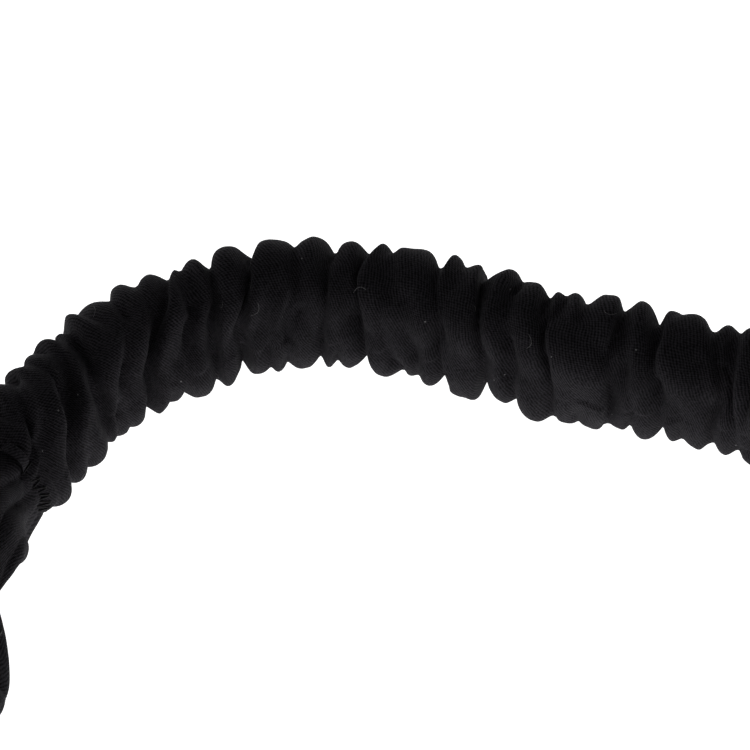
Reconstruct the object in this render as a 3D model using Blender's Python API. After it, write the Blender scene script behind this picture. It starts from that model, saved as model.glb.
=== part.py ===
"""Knotted headband: a ruched fabric casing over flat elastic, joined at the front by two interlocked loops.

The band stands on its edge. +Z is up, -Y is the knotted front, +Y the back of the head, and X runs
across the head. The origin is below the middle of the whole headband, on the surface it stands on.
Distances along the band are measured on its centre line from the middle of the knot, positive
towards +X (right) and negative towards -X (left). Depth is positive towards the head.
"""

import math

import bmesh
import bpy
from mathutils import Vector

MM = 0.001

# Driving dimensions.
MEAN_RADIUS = 80.3 * MM  # centre line of the band, seen from above
OVAL = 0.165  # how much longer than wide the band lies
EGG = -0.088  # how much fuller the back is than the front
PUSH = 9.0 * MM  # the soft band, laid down, bulges forward on the right of the knot
PUSH_ANGLE = 0.3  # radians from the front to the middle of the bulge
PUSH_SPREAD = 0.45
BAND_HEIGHT = 30.0 * MM  # ruched casing, edge to edge
BAND_THICKNESS = 17.0 * MM  # ruched casing, head side to outer side
ELASTIC_WIDTH = 12.0 * MM
ELASTIC_THICKNESS = 1.2 * MM
BUNDLE = 13.1 * MM  # gathered fabric of a loop where the loops hook together
STRAND_WIDTH = 28.0 * MM  # a loop's strand where it is sewn to the casing
STRAND_THICKNESS = 6.6 * MM
LOOP_RADIUS = 17.8 * MM  # bend of a loop around the other one
JOIN = 28.0 * MM  # from the middle of the knot to the mouth of the casing
BACK_ARC = 96.0 * MM  # half of the casing length that moves with the back of the head
THREAD = 0.7 * MM
STITCH_ROWS = 12
STITCH_SPAN = 18.0 * MM  # height of the zigzag at a mouth of the casing
STITCH_NEAR = 2.0 * MM  # the zigzag's two edges, from the mouth
STITCH_FAR = 4.5 * MM
TACK_ROWS = 6
TACK_SPAN = 9.0 * MM  # height of the keeper stitches behind the crossing
TACK_REACH = 1.4 * MM
TACK_DEPTH = 10.7 * MM
KNOT_FORWARD = 2.5 * MM  # the knot sits this much outside the band's centre line

# Clearances between pieces.
GAP = 0.3 * MM
SLOT_CLEARANCE = 0.4 * MM
SLOT_CORNER = 1.06  # the slot's rounded corners clear the elastic's square ones

# Worked out from the driving dimensions.
KNOT_DEPTH_SCALE = 0.72
KNOT_HEIGHT_SCALE = 0.92
BEND_FLARE = 0.45  # how much wider a bundle is at its strands than where the loops hook together
BEND_THINNING = 0.15
KNOT_CENTRE_HEIGHT = 19.4 * MM
JOIN_CENTRE_HEIGHT = 19.5 * MM  # the knot holds the casing's mouth a little off the surface
LIFT_ENDS = 78.0 * MM  # from here on the casing lies on the surface
HALF_BAND = BAND_THICKNESS / 2
CASING_POINTS = 16
CASING_POWER = 2.8
SLOT_POWER = 12
LOOP_POINTS = 14
LOOP_POWER = 2.4
BEND_SECTIONS = 16
STRAND_SECTIONS = 8
THREAD_SIDES = 6
STATION = 7.0 * MM
ELASTIC_SET_BACK = 1.5 * MM  # from the mouth of the casing to the elastic's end
SMOOTH_ANGLE = math.radians(50)


def band_radius(angle):
    """Radius of the centre line at an angle from the front, positive towards +X."""
    oval = MEAN_RADIUS * (1 + OVAL * math.cos(2 * angle) + EGG * math.cos(3 * angle))
    return oval + PUSH * math.exp(-((angle - PUSH_ANGLE) / PUSH_SPREAD) ** 2)


def centre_line(steps=1440):
    """Points of the centre line from the back down the left side and up the right, with their distances."""
    points = []
    for step in range(steps + 1):
        angle = -math.pi + 2 * math.pi * step / steps
        radius = band_radius(angle)
        points.append(Vector((radius * math.sin(angle), -radius * math.cos(angle))))
    along = [0.0]
    for before, after in zip(points, points[1:]):
        along.append(along[-1] + (after - before).length)
    knot = along[steps // 2]
    return points, [distance - knot for distance in along]


POINTS, ALONG = centre_line()
LEFT_LENGTH = -ALONG[0]  # from the knot to the middle of the back
RIGHT_LENGTH = ALONG[-1]
KNOT_OUTER = 19.96 * MM  # outer face of the knot, from the centre line
CENTRE_Y = ((band_radius(math.pi) + HALF_BAND) - (band_radius(0) + KNOT_OUTER)) / 2


def on_line(distance):
    """Point and outward direction of the centre line at a distance from the middle of the knot."""
    length = LEFT_LENGTH + RIGHT_LENGTH
    wrapped = (distance + LEFT_LENGTH) % length
    index = min(int(wrapped / length * (len(POINTS) - 1)), len(POINTS) - 2)
    target = wrapped - LEFT_LENGTH
    while ALONG[index] > target and index > 0:
        index -= 1
    while ALONG[index + 1] < target and index < len(POINTS) - 2:
        index += 1
    share = (target - ALONG[index]) / (ALONG[index + 1] - ALONG[index])
    point = POINTS[index].lerp(POINTS[index + 1], share)
    forward = (POINTS[index + 1] - POINTS[index]).normalized()
    return point, Vector((forward.y, -forward.x))


def place(distance, depth, height):
    """World position from distance along the band, depth towards the head and height."""
    point, outward = on_line(distance)
    point = point - outward * depth
    return Vector((point.x, point.y - CENTRE_Y, height))


def smooth_step(value):
    value = max(0.0, min(1.0, value))
    return value * value * (3 - 2 * value)


def casing_centre_height(distance):
    """Height of the casing's middle: lifted by the knot at its mouth, then lying on the surface."""
    lift = JOIN_CENTRE_HEIGHT - BAND_HEIGHT / 2
    from_knot = min(abs(distance), LEFT_LENGTH + RIGHT_LENGTH - abs(distance))
    return BAND_HEIGHT / 2 + lift * (1 - smooth_step((from_knot - JOIN) / (LIFT_ENDS - JOIN)))


def rounded_outline(width, height, power, count):
    """Points of a rounded rectangle of full width and height, with a flat edge on each side."""
    reach = math.cos(math.pi / count) ** (2 / power)
    outline = []
    for index in range(count):
        angle = 2 * math.pi * (index + 0.5) / count - math.pi / 2
        across = math.copysign(abs(math.cos(angle)) ** (2 / power), math.cos(angle)) / reach
        upright = math.copysign(abs(math.sin(angle)) ** (2 / power), math.sin(angle)) / reach
        outline.append((across * width / 2, upright * height / 2))
    return outline


def make_material(name, colour, roughness):
    material = bpy.data.materials.new(name)
    material.use_nodes = True
    shader = material.node_tree.nodes["Principled BSDF"]
    shader.inputs["Base Color"].default_value = (*colour, 1.0)
    shader.inputs["Roughness"].default_value = roughness
    shader.inputs["Metallic"].default_value = 0.0
    return material


def add_object(name, mesh_builder, colour, roughness):
    """Finish a bmesh as a named object with its own material."""
    bmesh.ops.recalc_face_normals(mesh_builder, faces=mesh_builder.faces)
    mesh = bpy.data.meshes.new(name)
    mesh_builder.to_mesh(mesh)
    mesh_builder.free()
    mesh.shade_smooth()
    mesh.set_sharp_from_angle(angle=SMOOTH_ANGLE)
    mesh.materials.append(make_material(name, colour, roughness))
    thing = bpy.data.objects.new(name, mesh)
    bpy.context.scene.collection.objects.link(thing)
    return thing


def skin(builder, rings):
    """Join rings of vertices one to the next with quads."""
    for ring, following in zip(rings, rings[1:]):
        for index in range(len(ring)):
            beside = (index + 1) % len(ring)
            builder.faces.new((ring[index], ring[beside], following[beside], following[index]))


def solid_sweep(name, rings, colour, roughness):
    """A closed solid through rings of points, with a flat cap at each end."""
    builder = bmesh.new()
    vertices = [[builder.verts.new(point) for point in ring] for ring in rings]
    skin(builder, vertices)
    builder.faces.new(vertices[0])
    builder.faces.new(vertices[-1])
    return add_object(name, builder, colour, roughness)


def hollow_sweep(name, outer, inner, colour, roughness):
    """A sleeve between outer and inner rings of points, open at both ends."""
    builder = bmesh.new()
    outside = [[builder.verts.new(point) for point in ring] for ring in outer]
    inside = [[builder.verts.new(point) for point in ring] for ring in inner]
    skin(builder, outside)
    skin(builder, inside)
    skin(builder, [outside[0], inside[0]])
    skin(builder, [outside[-1], inside[-1]])
    return add_object(name, builder, colour, roughness)


def stations(start, end):
    """Evenly spaced distances from start to end, about one STATION apart."""
    count = max(1, round(abs(end - start) / STATION))
    return [start + (end - start) * index / count for index in range(count + 1)]


def ring_at(distance, outline):
    """An upright outline set across the band at a distance."""
    middle = casing_centre_height(distance)
    return [place(distance, across, middle + upright) for across, upright in outline]


BLACK_TWILL = (0.0097, 0.0092, 0.0104)
BLACK_ELASTIC = (0.013, 0.013, 0.014)
BLACK_THREAD = (0.016, 0.015, 0.017)


def make_casing(name, start, end):
    """One stretch of the ruched casing: a soft sleeve with a slot for the elastic."""
    outline = rounded_outline(BAND_THICKNESS, BAND_HEIGHT, CASING_POWER, CASING_POINTS)
    slot_width = ELASTIC_THICKNESS + 2 * SLOT_CLEARANCE
    slot_height = ELASTIC_WIDTH + 2 * SLOT_CLEARANCE
    slot = rounded_outline(slot_width * SLOT_CORNER, slot_height * SLOT_CORNER, SLOT_POWER, CASING_POINTS)
    places = stations(start, end)
    outer = [ring_at(distance, outline) for distance in places]
    inner = [ring_at(distance, slot) for distance in places]
    return hollow_sweep(name, outer, inner, BLACK_TWILL, 0.9)


def make_elastic(name, start, end):
    """One stretch of the flat elastic inside the casing."""
    half_thickness = ELASTIC_THICKNESS / 2
    half_width = ELASTIC_WIDTH / 2
    outline = [(-half_thickness, -half_width), (half_thickness, -half_width),
               (half_thickness, half_width), (-half_thickness, half_width)]
    rings = [ring_at(distance, outline) for distance in stations(start, end)]
    return solid_sweep(name, rings, BLACK_ELASTIC, 0.75)


def thread_tube(name, points):
    """A round thread along a list of points."""
    rings = []
    for index, point in enumerate(points):
        before = points[max(index - 1, 0)]
        after = points[min(index + 1, len(points) - 1)]
        forward = (after - before).normalized()
        across = forward.cross(Vector((0, 1, 0))).normalized()
        upright = forward.cross(across)
        ring = []
        for side in range(THREAD_SIDES):
            angle = 2 * math.pi * side / THREAD_SIDES
            offset = across * math.cos(angle) + upright * math.sin(angle)
            ring.append(point + offset * THREAD / 2)
        rings.append(ring)
    return solid_sweep(name, rings, BLACK_THREAD, 0.5)


def casing_depth(upright, side):
    """Depth of the casing's face at a height from its middle; side is 1 towards the head, -1 outwards."""
    share = min(1.0, abs(upright) / (BAND_HEIGHT / 2))
    return side * HALF_BAND * (1 - share ** CASING_POWER) ** (1 / CASING_POWER)


def make_join_stitches(name, hand, side):
    """Zigzag thread that closes a mouth of the casing on the strands' ends, seen on one face."""
    points = []
    for row in range(STITCH_ROWS + 1):
        upright = STITCH_SPAN * (row / STITCH_ROWS - 0.5)
        distance = hand * (JOIN + (STITCH_NEAR if row % 2 else STITCH_FAR))
        depth = casing_depth(upright, side) + side * (THREAD / 2 + GAP)
        points.append(place(distance, depth, casing_centre_height(distance) + upright))
    return thread_tube(name, points)


def make_knot_tack():
    """Keeper stitches across the crossing, on the head side of the knot."""
    points = []
    for row in range(TACK_ROWS + 1):
        upright = TACK_SPAN * (row / TACK_ROWS - 0.5)
        distance = TACK_REACH if row % 2 else -TACK_REACH
        points.append(place(distance, TACK_DEPTH, KNOT_CENTRE_HEIGHT + upright))
    return thread_tube("knot_tack", points)


class Section:
    """Cross-section of a loop's fabric, square to its forward direction."""

    def __init__(self, centre, forward, across, width, thickness):
        self.centre = centre
        self.forward = forward
        self.across = across
        self.width = width
        self.thickness = thickness


def bend_sections(hand, count):
    """Sections round the bend of a loop, from its front strand to its back strand."""
    lean = math.sqrt(0.5)
    plane = Vector((0, -lean * KNOT_DEPTH_SCALE, hand * lean * KNOT_HEIGHT_SCALE))
    across = Vector((0, -lean * KNOT_DEPTH_SCALE, -hand * lean * KNOT_HEIGHT_SCALE))
    reach = BUNDLE / 2 + 1.5 * GAP
    middle = Vector((hand * (LOOP_RADIUS - reach), -KNOT_FORWARD, KNOT_CENTRE_HEIGHT))
    sections = []
    for index in range(count + 1):
        angle = math.pi / 2 - math.pi * index / count
        opened = math.sin(angle) ** 2
        centre = middle + plane * (LOOP_RADIUS * math.sin(angle))
        centre.x -= hand * LOOP_RADIUS * math.cos(angle)
        forward = plane * -math.cos(angle)
        forward.x = -hand * math.sin(angle)
        width = BUNDLE * (1 + BEND_FLARE * opened ** 3)
        thickness = BUNDLE * (1 - BEND_THINNING * opened)
        sections.append(Section(centre, forward.normalized(), across.copy(), width, thickness))
    return sections


def strand_sections(first, depth, count):
    """Sections from a bend's end out to the strand's end in the casing's mouth, flaring on the way."""
    hand = math.copysign(1, first.centre.x)
    start = abs(first.centre.x)
    end = JOIN - GAP
    upright = Vector((0, 0, math.copysign(1, first.across.z)))
    sewn = Vector((0, depth, casing_centre_height(JOIN)))
    sections = []
    for index in range(1, count + 1):
        share = index / count
        settled = smooth_step(share)
        centre = first.centre.lerp(sewn, settled)
        centre.x = hand * (start + (end - start) * share)
        across = first.across.lerp(upright, settled)
        width = first.width + (STRAND_WIDTH - first.width) * settled
        thickness = first.thickness + (STRAND_THICKNESS - first.thickness) * settled
        sections.append(Section(centre, first.forward.copy(), across, width, thickness))
    return sections


def loop_rings(sections):
    """Rounded rings of world points around a list of sections."""
    outline = rounded_outline(1.0, 1.0, LOOP_POWER, LOOP_POINTS)
    rings = []
    for section in sections:
        reach = section.across.length
        across = section.across - section.forward * section.across.dot(section.forward)
        across.normalize()
        through = section.forward.cross(across)
        ring = []
        for wide, thick in outline:
            offset = across * (wide * section.width * reach) + through * (thick * section.thickness)
            point = section.centre + offset
            ring.append(place(point.x, point.y, point.z))
        rings.append(ring)
    return rings


def make_loop(name, hand):
    """One fabric loop: a front strand, the bend round the other loop and a back strand."""
    bend = bend_sections(hand, BEND_SECTIONS)
    depth = STRAND_THICKNESS / 2 + GAP / 2
    front = strand_sections(bend[0], -depth, STRAND_SECTIONS)
    back = strand_sections(bend[-1], depth, STRAND_SECTIONS)
    sections = list(reversed(front)) + bend + back
    return solid_sweep(name, loop_rings(sections), BLACK_TWILL, 0.9)


def clear_scene():
    for thing in list(bpy.data.objects):
        bpy.data.objects.remove(thing, do_unlink=True)


def build():
    clear_scene()
    for side, hand, length in (("left", -1, LEFT_LENGTH), ("right", 1, RIGHT_LENGTH)):
        end = length - BACK_ARC - GAP
        make_loop("knot_loop_" + side, hand)
        make_casing("casing_" + side, hand * JOIN, hand * end)
        make_elastic("elastic_" + side, hand * (JOIN + ELASTIC_SET_BACK), hand * end)
        make_join_stitches("join_stitches_" + side, hand, -1)
        make_join_stitches("join_stitches_inner_" + side, hand, 1)
    make_casing("casing_back", RIGHT_LENGTH - BACK_ARC, RIGHT_LENGTH + BACK_ARC)
    make_elastic("elastic_back", RIGHT_LENGTH - BACK_ARC, RIGHT_LENGTH + BACK_ARC)
    make_knot_tack()


build()
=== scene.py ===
"""Knotted headband: ruched black twill casing over flat elastic, with two fabric loops hooked at the front.

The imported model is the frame. Every piece is built from the band's centre line, which runs from the
middle of the knot down the left side, round the back of the head and up the right side.
"""

import math

import bmesh
import bpy
import numpy as np
from mathutils import Matrix, Vector


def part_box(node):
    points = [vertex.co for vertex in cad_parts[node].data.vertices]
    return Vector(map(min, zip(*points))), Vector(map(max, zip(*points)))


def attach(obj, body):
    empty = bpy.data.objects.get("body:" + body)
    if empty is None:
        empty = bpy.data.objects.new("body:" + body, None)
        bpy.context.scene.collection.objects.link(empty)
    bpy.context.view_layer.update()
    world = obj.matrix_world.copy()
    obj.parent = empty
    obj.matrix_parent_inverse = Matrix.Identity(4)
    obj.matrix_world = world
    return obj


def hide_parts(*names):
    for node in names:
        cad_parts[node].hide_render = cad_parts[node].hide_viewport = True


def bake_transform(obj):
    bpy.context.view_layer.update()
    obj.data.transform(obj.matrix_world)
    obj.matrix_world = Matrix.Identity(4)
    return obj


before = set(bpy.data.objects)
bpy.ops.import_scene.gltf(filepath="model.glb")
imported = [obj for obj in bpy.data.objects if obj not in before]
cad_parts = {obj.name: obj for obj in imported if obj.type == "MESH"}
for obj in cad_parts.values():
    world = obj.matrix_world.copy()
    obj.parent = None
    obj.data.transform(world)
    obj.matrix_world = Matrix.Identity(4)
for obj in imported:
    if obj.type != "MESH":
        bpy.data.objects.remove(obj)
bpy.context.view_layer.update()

bl_info = {
    "name": "Knotted headband",
    "version": (1, 0, 0),
    "blender": (4, 5, 0),
    "location": "3D View > Sidebar > Headband",
    "description": "Builds a ruched fabric headband with a looped knot",
    "category": "Add Mesh",
}

MM = 0.001

# The band's centre line seen from above, as the model has it.
MEAN_RADIUS = 80.3 * MM
OVAL = 0.165
EGG = -0.088
PUSH = 9.0 * MM  # the laid-down band bulges forward on the right of the knot
PUSH_ANGLE = 0.3
PUSH_SPREAD = 0.45
JOIN = 28.0 * MM  # from the middle of the knot to each mouth of the casing
LIFT_ENDS = 78.0 * MM  # from here on the casing lies on the floor
KNOT_HEIGHT = 19.4 * MM
KNOT_FORWARD = 2.5 * MM
MOUTH_HEIGHT = 19.5 * MM

BACK_LOW, BACK_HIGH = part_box("casing_back")
BAND_HEIGHT = BACK_HIGH[2] - BACK_LOW[2]
BAND_THICKNESS = 17.0 * MM
FLANK_END = 192 * MM  # the folds are placed one by one up to here and scattered beyond
ELASTIC_WIDTH = 12.0 * MM
ELASTIC_THICKNESS = 1.2 * MM
ELASTIC_SET_BACK = 1.5 * MM  # from the mouth of the casing to the elastic's end
SEED = 11


# ---------------------------------------------------------------- sizes and colours

class CasingSettings(bpy.types.PropertyGroup):
    """Sizes of the ruched casing."""

    valley: bpy.props.FloatProperty(
        name="Valley depth", description="How far the valleys lie inside the casing's faces",
        default=2.3 * MM, unit="LENGTH")
    edge_valley: bpy.props.FloatProperty(
        name="Edge valley depth", description="How far the valleys lie inside the casing's edges",
        default=3.5 * MM, unit="LENGTH")
    crease: bpy.props.FloatProperty(
        name="Crease height", description="Height of the fine creases on the folds",
        default=0.26 * MM, unit="LENGTH")
    around: bpy.props.IntProperty(
        name="Points around", description="Points around the casing", default=94, min=24)
    spacing: bpy.props.FloatProperty(
        name="Fold spacing", description="Distance between folds where they are scattered",
        default=5.6 * MM, unit="LENGTH")


class ClothSettings(bpy.types.PropertyGroup):
    """Colours and weave of the fabric and thread."""

    black: bpy.props.FloatVectorProperty(
        name="Twill", description="Colour of the twill", subtype="COLOR", size=3,
        default=(0.0205, 0.0192, 0.0222))
    lint: bpy.props.FloatVectorProperty(
        name="Lint", description="Colour of the lint on the twill", subtype="COLOR", size=3,
        default=(0.20, 0.195, 0.20))
    thread: bpy.props.FloatVectorProperty(
        name="Thread", description="Colour of the sewing thread", subtype="COLOR", size=3,
        default=(0.010, 0.0095, 0.0105))
    wale: bpy.props.FloatProperty(
        name="Wale spacing", description="Distance between the twill's diagonal lines",
        default=0.54 * MM, unit="LENGTH")


class StitchSettings(bpy.types.PropertyGroup):
    """Zigzag stitches at the casing's mouths."""

    thread: bpy.props.FloatProperty(
        name="Thread", description="Thickness of the sewing thread",
        default=0.34 * MM, unit="LENGTH")
    rows: bpy.props.IntProperty(
        name="Rows", description="Stitches on each face of a mouth", default=14, min=2)
    rise: bpy.props.FloatProperty(
        name="Rise", description="How far a stitch climbs, in points of the casing's outline", default=1.9)
    near: bpy.props.IntProperty(
        name="Near edge", description="Rows of the casing from the mouth to the zigzag's near edge",
        default=2)
    far: bpy.props.IntProperty(
        name="Far edge", description="Rows of the casing from the mouth to the zigzag's far edge",
        default=8)


class LintSettings(bpy.types.PropertyGroup):
    """Lint fibres on the twill."""

    colour: bpy.props.FloatVectorProperty(
        name="Colour", description="Colour of the lint", subtype="COLOR", size=3, default=(0.2, 0.195, 0.2))
    density: bpy.props.FloatProperty(
        name="Density", description="Fibres on a square metre of cloth", default=3600.0)
    length: bpy.props.FloatProperty(
        name="Length", description="Length of a fibre before it is scaled", default=1.9 * MM, unit="LENGTH")
    radius: bpy.props.FloatProperty(
        name="Radius", description="Thickness of a fibre from its middle out",
        default=0.022 * MM, unit="LENGTH")


class StageSettings(bpy.types.PropertyGroup):
    """Floor, light and camera."""

    floor: bpy.props.FloatVectorProperty(
        name="Floor", description="Colour of the floor", subtype="COLOR", size=3,
        default=(0.9, 0.9, 0.9))
    key: bpy.props.FloatProperty(
        name="Key light", description="Power of the large soft light in front", default=0.6, unit="POWER")
    lens: bpy.props.FloatProperty(
        name="Lens", description="Focal length of the camera in millimetres", default=127.9)


# ---------------------------------------------------------------- the band's centre line

def band_radius(angle):
    """Radius of the centre line at an angle from the front, positive towards the left side."""
    oval = MEAN_RADIUS * (1 + OVAL * np.cos(2 * angle) + EGG * np.cos(3 * angle))
    from_bulge = (angle + PUSH_ANGLE + np.pi) % (2 * np.pi) - np.pi
    return oval + PUSH * np.exp(-(from_bulge / PUSH_SPREAD) ** 2)


def centre_line(steps=2880):
    """Points and outward directions by distance from the knot down the left side, for one whole turn."""
    angle = np.linspace(0, 2 * np.pi, steps + 1)
    radius = band_radius(angle)
    points = np.stack([-radius * np.sin(angle), -radius * np.cos(angle)], -1)
    along = np.r_[0, np.cumsum(np.linalg.norm(np.diff(points, axis=0), axis=1))]
    forward = np.gradient(points, along, axis=0)
    forward[0] = forward[-1] = (forward[0] + forward[-1]) / 2
    forward /= np.linalg.norm(forward, axis=1)[:, None]
    outward = np.stack([-forward[:, 1], forward[:, 0]], -1)
    if (outward[0] * points[0]).sum() < 0:
        outward = -outward
    points[:, 1] -= points[:, 1].max() + BAND_THICKNESS / 2 - BACK_HIGH[1]
    return along, points, outward


ALONG, POINTS, OUTWARD = centre_line()
LENGTH = ALONG[-1]


def place(along, depth, height):
    """World points from distance down the left side, depth towards the head and height."""
    wrapped = np.mod(along, LENGTH)
    centre = [np.interp(wrapped, ALONG, POINTS[:, axis]) for axis in (0, 1)]
    outward = [np.interp(wrapped, ALONG, OUTWARD[:, axis]) for axis in (0, 1)]
    x = centre[0] - outward[0] * depth
    y = centre[1] - outward[1] * depth
    return np.stack(np.broadcast_arrays(x, y, height), -1)


def smooth_step(value):
    value = np.clip(value, 0, 1)
    return value * value * (3 - 2 * value)


def casing_middle(along):
    """Height of the casing's middle: held up by the knot at its mouths, lying on the floor elsewhere."""
    from_knot = np.minimum(np.mod(along, LENGTH), LENGTH - np.mod(along, LENGTH))
    rise = 1 - smooth_step((from_knot - JOIN) / (LIFT_ENDS - JOIN))
    return BAND_HEIGHT / 2 + (MOUTH_HEIGHT - BAND_HEIGHT / 2) * rise


# ---------------------------------------------------------------- noise, folds and meshes

def noise(u, v, seed, wrap):
    """Smooth noise from -1 to 1 over u and v; v repeats after wrap cells."""
    table = np.random.default_rng(seed).uniform(-1, 1, (512, wrap))
    cell_u, cell_v = np.floor(u).astype(int), np.floor(v).astype(int)
    part_u, part_v = smooth_step(u - cell_u), smooth_step(v - cell_v)
    low_u, high_u = cell_u % 512, (cell_u + 1) % 512
    low_v, high_v = cell_v % wrap, (cell_v + 1) % wrap
    near = table[low_u, low_v] * (1 - part_v) + table[low_u, high_v] * part_v
    far = table[high_u, low_v] * (1 - part_v) + table[high_u, high_v] * part_v
    return near * (1 - part_u) + far * part_u


CASING_ROWS = 1010
FINE_STEP = 0.43 * MM  # between two rows where the folds are placed one by one
LIP_ROWS = 6  # rows on either end that turn in at the mouth
FACE = math.radians(57)  # the direction round the casing that lies between its head side and its top


class Fold:
    """One fold of the ruching: a rounded roll that runs round the casing."""

    def __init__(self, low, high, half_low, half_high, height, lean=0.0, bow=0.0, reach=None, facing=0.0):
        self.low, self.high = low * MM, high * MM
        self.half_low, self.half_high = half_low * MM, half_high * MM
        self.height, self.lean, self.bow = height * MM, lean, bow * MM
        self.reach, self.facing = reach, facing


# Folds of the left side, from the mouth: place at the lower and upper edge along the band, half
# width there and height, all in millimetres, and lean, as a share of the height.
LEFT_FOLDS = (
    (15.6, 33.6, 2.4, 3.0, 2.4, 0.2),
    (25.6, 40.1, 2.2, 2.9, 2.8, 0.3),
    (35.6, 46.6, 2.9, 3.2, 3.1, 0.4),
    (45.1, 56.1, 3.7, 4.7, 3.5, 0.3),
    (52.6, 66.3, 2.5, 3.6, 3.0, 0.5),
    (59.4, 73.9, 3.1, 3.8, 3.2, 0.2),
    (68.1, 80.2, 3.6, 3.0, 3.3, -0.3),
    (76.4, 85.0, 3.0, 2.6, 2.5, 0.2),
    (83.6, 90.6, 3.2, 3.0, 2.8, 0.3),
    (89.8, 96.0, 2.6, 3.0, 3.1, -0.4),
    (97.0, 100.5, 4.3, 2.2, 2.7, 0.1),
    (103.5, 105.3, 2.5, 3.6, 3.4, 0.2),
    (108.8, 110.4, 2.7, 2.4, 2.6, 0.1),
    (113.8, 113.0, 2.3, 1.6, 2.2, 0.3),
    (121.0, 117.0, 4.6, 4.5, 3.4, -0.7),
    (129.5, 126.0, 3.4, 4.4, 3.0, 0.2),
    (136.5, 132.6, 3.8, 2.6, 3.1, -0.3),
    (144.3, 138.7, 3.8, 3.6, 3.5, -0.5),
    (150.9, 146.3, 3.2, 3.0, 2.8, 0.2),
    (159.0, 155.3, 5.1, 5.2, 3.2, -0.4),
    (166.0, 162.7, 2.1, 2.1, 3.0, -0.2),
    (171.8, 168.5, 3.4, 3.8, 3.0, -0.3),
    (180.0, 175.1, 4.5, 3.0, 3.6, -0.4),
    (187.0, 180.1, 2.5, 2.9, 2.6, 0.2),
    (191.6, 185.2, 2.7, 2.8, 2.9, -0.2),
)


# Deep creases of that stretch: place at the lower and upper edge, half width and depth in
# millimetres, and the side that rolls over the crease, 1 for the side towards the back of the head.
DEEP_CREASES = (
    (24.0, 44.0, 1.2, 2.2, 1), (40.0, 56.0, 1.3, 2.6, 1), (52.0, 57.5, 1.4, 3.4, 1),
    (64.6, 79.0, 1.6, 3.6, 1), (73.5, 82.0, 0.9, 1.6, -1), (82.0, 85.5, 1.0, 2.0, 1),
    (89.0, 94.0, 1.4, 3.6, 1), (98.0, 101.0, 0.9, 1.2, -1), (105.8, 108.0, 1.2, 1.8, 1),
    (115.5, 114.5, 1.2, 2.8, 1), (123.0, 119.0, 0.9, 1.3, 1), (132.5, 127.6, 0.9, 2.6, 1),
    (140.6, 136.7, 1.3, 3.4, -1), (147.0, 143.0, 0.8, 1.4, 1), (154.6, 149.5, 0.9, 2.0, 1),
    (164.4, 164.0, 1.2, 3.4, -1), (175.0, 171.0, 1.0, 2.4, 1), (184.8, 181.0, 1.0, 2.4, -1),
    (190.0, 185.4, 0.9, 2.2, 1),
)


def scattered_creases(start, end, seed):
    """Deep creases at uneven distances, as hand gathering leaves them."""
    chance = np.random.default_rng(seed)
    creases = []
    middle = start
    while middle < end:
        slant = chance.normal(0, 2.5)
        creases.append((middle - slant, middle + slant, chance.uniform(0.9, 1.5), chance.uniform(1.4, 3.6),
                        chance.choice([-1, 1])))
        middle += chance.uniform(6.0, 15.0)
    return creases


def carve(height, shift, along, facing, creases, seed):
    """Cut the deep creases into the fabric and let one side of each roll over it."""
    chance = np.random.default_rng(seed)
    turn = np.sin(facing - FACE)[None]
    across_face = np.abs(np.cos(facing - FACE))[None]
    for low, high, half, depth, side in creases:
        wobble = chance.uniform(0, 2 * np.pi, 3)
        centre = (low + high) / 2 * MM + (high - low) / 2 * MM * turn
        centre = centre + 0.5 * MM * np.sin(2 * facing + wobble[0])
        centre = centre + 0.25 * MM * np.sin(5 * facing + wobble[1])
        across = (along[:, None] - centre) * side / (half * MM)
        strength = depth * MM * (0.8 + 0.2 * np.sin(2 * facing + wobble[2])) * (0.35 + 0.8 * across_face)
        groove = np.exp(-(across / np.where(across < 0, 1.9, 0.8)) ** 2)
        lip = np.exp(-((across - 1.6) / 1.1) ** 2)
        height = height - strength * groove + 0.16 * strength * lip
        shift = shift - side * 0.32 * strength * lip
    return smoothed(np.maximum(height, -0.6 * MM), 1), smoothed(shift, 2)


def edge_lobes(dips, facing, height):
    """Lobes that bulge between the dips on one edge of the casing and fade out across its faces."""
    lobes = []
    for start, end in zip(dips, dips[1:]):
        half = (end - start) / 2
        middle = (start + end) / 2
        lobes.append(Fold(middle, middle, half * 1.03, half * 1.03, height + min(1.6, 0.32 * half),
                          0, 0, math.radians(92), math.radians(facing)))
    return lobes


def dips_at_creases(places, start, end, seed):
    """Dips on one edge where the deep creases reach it, with uneven ones where two creases lie far apart."""
    chance = np.random.default_rng(seed)
    stops = sorted([start, end] + [place for place in places if start + 3 < place < end - 3])
    dips = [stops[0]]
    for stop in stops[1:]:
        while stop - dips[-1] > 8.6:
            dips.append(dips[-1] + chance.uniform(3.0, 5.6))
        dips.append(stop)
    return dips


def scattered_dips(start, end, seed):
    """Dips at uneven distances, as hand gathering leaves them."""
    chance = np.random.default_rng(seed)
    dips = [start]
    while dips[-1] < end:
        dips.append(dips[-1] + chance.uniform(3.0, 8.6))
    return dips


def scattered_folds(start, end, spacing, seed):
    """Folds from start to end, as uneven as hand gathering leaves them."""
    chance = np.random.default_rng(seed)
    folds = []
    along = start
    while along < end:
        step = spacing / MM * chance.uniform(0.72, 1.35)
        slant = chance.normal(0, 2.0)
        half = step * chance.uniform(0.55, 0.68)
        height = 1.9 + 0.28 * step * chance.uniform(0.7, 1.1)
        middle = along / MM + step / 2
        folds.append(Fold(middle - slant, middle + slant, half * chance.uniform(0.8, 1.2),
                          half * chance.uniform(0.8, 1.2), height, chance.uniform(-0.5, 0.5),
                          chance.normal(0, 0.7)))
        along += step * MM
    return folds


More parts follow.
